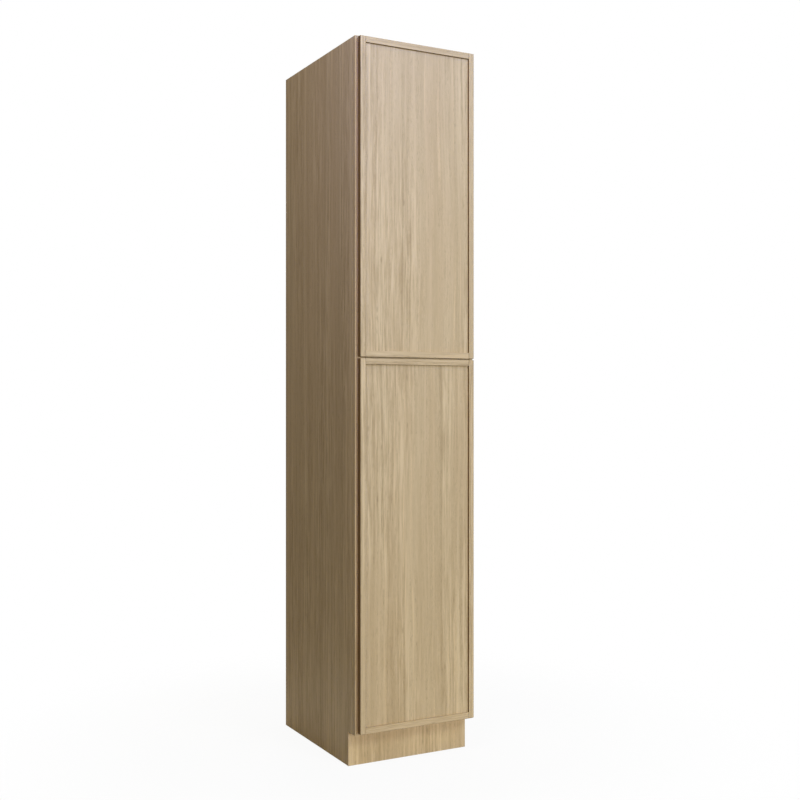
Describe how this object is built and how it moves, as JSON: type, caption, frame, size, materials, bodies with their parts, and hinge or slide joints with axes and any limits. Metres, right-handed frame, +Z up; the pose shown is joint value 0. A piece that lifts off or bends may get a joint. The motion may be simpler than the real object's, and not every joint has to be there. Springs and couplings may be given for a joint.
{
  "type": "pantry cabinet",
  "caption": "Tall narrow face-framed pantry cabinet with stacked slim-shaker doors on concealed hinges, shelves on pins inside, and a recessed toe kick.",
  "frame": {"origin": "on the floor, under the centre of the closed cabinet's bounding box", "axes": "+X to the cabinet's right seen from the front, +Y towards the wall behind it, +Z up; the doors face -Y"},
  "size_m": [0.4572, 0.6226, 2.4384],
  "materials": {
    "white_oak": "matt clear lacquer",
    "interior_plywood": "satin clear lacquer",
    "base_plywood": "unfinished plywood",
    "nickel_steel": "nickel plated",
    "bumper_plastic": "clear soft plastic"
  },
  "bodies": {
    "carcass": {"side_panel_left": "white_oak", "side_panel_right": "white_oak", "top_panel": "interior_plywood", "bottom_panel": "interior_plywood", "fixed_shelf": "interior_plywood", "back_panel": "interior_plywood", "hanging_rail_bottom": "base_plywood", "hanging_rail_middle": "base_plywood", "hanging_rail_top": "base_plywood", "toe_kick_board": "base_plywood", "toe_kick_skin": "white_oak", "frame_stile_left": "white_oak", "frame_stile_right": "white_oak", "frame_rail_bottom": "white_oak", "frame_rail_middle": "white_oak", "frame_rail_top": "white_oak", "lower_door_hinge_arm_bottom": "nickel_steel", "lower_door_hinge_arm_middle": "nickel_steel", "lower_door_hinge_arm_top": "nickel_steel", "upper_door_hinge_arm_bottom": "nickel_steel", "upper_door_hinge_arm_top": "nickel_steel", "shelf_pin_1_front_left": "nickel_steel", "shelf_pin_1_front_right": "nickel_steel", "shelf_pin_1_back_left": "nickel_steel", "shelf_pin_1_back_right": "nickel_steel", "shelf_pin_2_front_left": "nickel_steel", "shelf_pin_2_front_right": "nickel_steel", "shelf_pin_2_back_left": "nickel_steel", "shelf_pin_2_back_right": "nickel_steel", "shelf_pin_3_front_left": "nickel_steel", "shelf_pin_3_front_right": "nickel_steel", "shelf_pin_3_back_left": "nickel_steel", "shelf_pin_3_back_right": "nickel_steel", "shelf_pin_4_front_left": "nickel_steel", "shelf_pin_4_front_right": "nickel_steel", "shelf_pin_4_back_left": "nickel_steel", "shelf_pin_4_back_right": "nickel_steel"},
    "lower_door": {"lower_door_stile_left": "white_oak", "lower_door_stile_right": "white_oak", "lower_door_rail_top": "white_oak", "lower_door_rail_bottom": "white_oak", "lower_door_panel": "white_oak", "lower_door_hinge_cup_bottom": "nickel_steel", "lower_door_hinge_cup_middle": "nickel_steel", "lower_door_hinge_cup_top": "nickel_steel", "lower_door_bumper_top": "bumper_plastic", "lower_door_bumper_bottom": "bumper_plastic"},
    "upper_door": {"upper_door_stile_left": "white_oak", "upper_door_stile_right": "white_oak", "upper_door_rail_top": "white_oak", "upper_door_rail_bottom": "white_oak", "upper_door_panel": "white_oak", "upper_door_hinge_cup_bottom": "nickel_steel", "upper_door_hinge_cup_top": "nickel_steel", "upper_door_bumper_top": "bumper_plastic", "upper_door_bumper_bottom": "bumper_plastic"},
    "shelf_1": {"adjustable_shelf_1": "interior_plywood"},
    "shelf_2": {"adjustable_shelf_2": "interior_plywood"},
    "shelf_3": {"adjustable_shelf_3": "interior_plywood"},
    "shelf_4": {"adjustable_shelf_4": "interior_plywood"}
  },
  "joints": [
    {"name": "lower_door_hinge", "type": "hinge", "parent": "carcass", "child": "lower_door", "pos_m": [0.2128, -0.29975, 0.7448], "axis": [0, 0, 1], "range_deg": [0, 105]},
    {"name": "upper_door_hinge", "type": "hinge", "parent": "carcass", "child": "upper_door", "pos_m": [0.2128, -0.29975, 1.9027], "axis": [0, 0, 1], "range_deg": [0, 105]},
    {"name": "shelf_1_lift", "type": "slide", "parent": "carcass", "child": "shelf_1", "axis": [0, 0, 1], "range_m": [0, 0.02]},
    {"name": "shelf_2_lift", "type": "slide", "parent": "carcass", "child": "shelf_2", "axis": [0, 0, 1], "range_m": [0, 0.02]},
    {"name": "shelf_3_lift", "type": "slide", "parent": "carcass", "child": "shelf_3", "axis": [0, 0, 1], "range_m": [0, 0.02]},
    {"name": "shelf_4_lift", "type": "slide", "parent": "carcass", "child": "shelf_4", "axis": [0, 0, 1], "range_m": [0, 0.02]}
  ]
}
